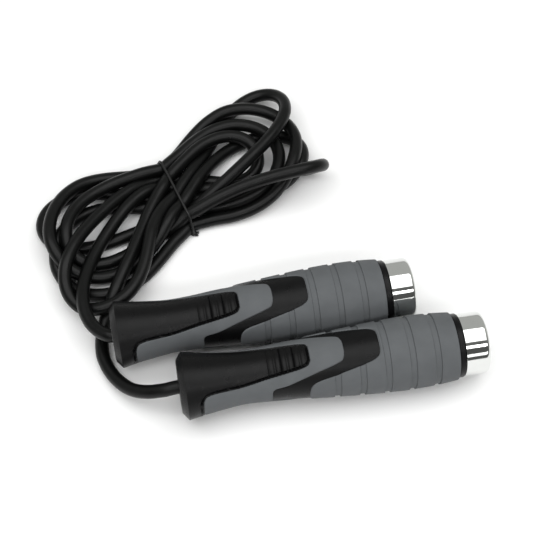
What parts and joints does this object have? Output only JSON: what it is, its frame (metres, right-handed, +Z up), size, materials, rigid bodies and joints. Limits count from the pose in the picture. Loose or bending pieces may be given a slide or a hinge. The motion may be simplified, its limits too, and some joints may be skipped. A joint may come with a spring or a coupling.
{
  "type": "jump rope",
  "caption": "Weighted jump rope: two flared, waisted handles with grey soft grips and chrome screw caps, on one black round rope tied in a hank.",
  "frame": {"origin": "on the ground, below the middle of the box round both handles; the rope and its hank are left out of that box", "axes": "+X along the handles from their flared mouths to their chrome caps, +Z up; the hank lies behind the handles, towards +Y"},
  "size_m": [0.2327, 0.2208, 0.0395],
  "materials": {
    "black_plastic": "satin",
    "grey_grip": "matte",
    "chrome": "polished",
    "steel": "satin",
    "nylon": "satin",
    "foam": "matte",
    "rope": "satin",
    "tie": "satin"
  },
  "bodies": {
    "rope": {"rope_hank": "rope", "rope_lead_a": "rope", "rope_lead_b": "rope", "twist_tie": "tie", "inner_race_a": "steel", "rope_washer_a": "steel", "rope_ferrule_a": "steel", "inner_race_b": "steel", "rope_washer_b": "steel", "rope_ferrule_b": "steel"},
    "handle_a": {"core_a": "black_plastic", "thumb_overlay_a": "grey_grip", "grip_sleeve_a": "grey_grip", "collar_ring_a": "black_plastic", "weight_a": "steel", "weight_damper_a": "foam", "bearing_retainer_a": "black_plastic", "outer_race_a": "steel"},
    "ball_set_a": {"ball_cage_a": "nylon", "ball_a_1": "steel", "ball_a_2": "steel", "ball_a_3": "steel", "ball_a_4": "steel", "ball_a_5": "steel", "ball_a_6": "steel", "ball_a_7": "steel"},
    "cap_travel_a": {"cap_pad_a": "foam"},
    "cap_a": {"end_cap_a": "chrome", "cap_plug_a": "nylon"},
    "handle_b": {"core_b": "black_plastic", "thumb_overlay_b": "grey_grip", "grip_sleeve_b": "grey_grip", "collar_ring_b": "black_plastic", "weight_b": "steel", "weight_damper_b": "foam", "bearing_retainer_b": "black_plastic", "outer_race_b": "steel"},
    "ball_set_b": {"ball_cage_b": "nylon", "ball_b_1": "steel", "ball_b_2": "steel", "ball_b_3": "steel", "ball_b_4": "steel", "ball_b_5": "steel", "ball_b_6": "steel", "ball_b_7": "steel"},
    "cap_travel_b": {"cap_pad_b": "foam"},
    "cap_b": {"end_cap_b": "chrome", "cap_plug_b": "nylon"}
  },
  "joints": [
    {"name": "handle_spin_a", "type": "hinge", "parent": "rope", "child": "handle_a", "pos_m": [-0.05955, -0.01849, 0.01975], "axis": [1, -0.0094, 0], "continuous": true},
    {"name": "ball_orbit_a", "type": "hinge", "parent": "rope", "child": "ball_set_a", "pos_m": [-0.05955, -0.01849, 0.01975], "axis": [1, -0.0094, 0], "continuous": true},
    {"name": "cap_travel_a", "type": "slide", "parent": "handle_a", "child": "cap_travel_a", "axis": [1, -0.0094, 0], "range_m": [0, 0.008]},
    {"name": "cap_turn_a", "type": "hinge", "parent": "cap_travel_a", "child": "cap_a", "pos_m": [0.09104, -0.01991, 0.01975], "axis": [1, -0.0094, 0], "range_deg": [0, 1440]},
    {"name": "handle_spin_b", "type": "hinge", "parent": "rope", "child": "handle_b", "pos_m": [-0.09045, 0.01849, 0.01975], "axis": [1, 0.0094, 0], "continuous": true},
    {"name": "ball_orbit_b", "type": "hinge", "parent": "rope", "child": "ball_set_b", "pos_m": [-0.09045, 0.01849, 0.01975], "axis": [1, 0.0094, 0], "continuous": true},
    {"name": "cap_travel_b", "type": "slide", "parent": "handle_b", "child": "cap_travel_b", "axis": [1, 0.0094, 0], "range_m": [0, 0.008]},
    {"name": "cap_turn_b", "type": "hinge", "parent": "cap_travel_b", "child": "cap_b", "pos_m": [0.06014, 0.01991, 0.01975], "axis": [1, 0.0094, 0], "range_deg": [0, 1440]}
  ],
  "couplings": [
    {"joint": "ball_orbit_a", "follows": "handle_spin_a", "ratio": 0.62667},
    {"joint": "cap_turn_a", "follows": "cap_travel_a", "rad_per_m": 3141.6},
    {"joint": "ball_orbit_b", "follows": "handle_spin_b", "ratio": 0.62667},
    {"joint": "cap_turn_b", "follows": "cap_travel_b", "rad_per_m": 3141.6}
  ]
}
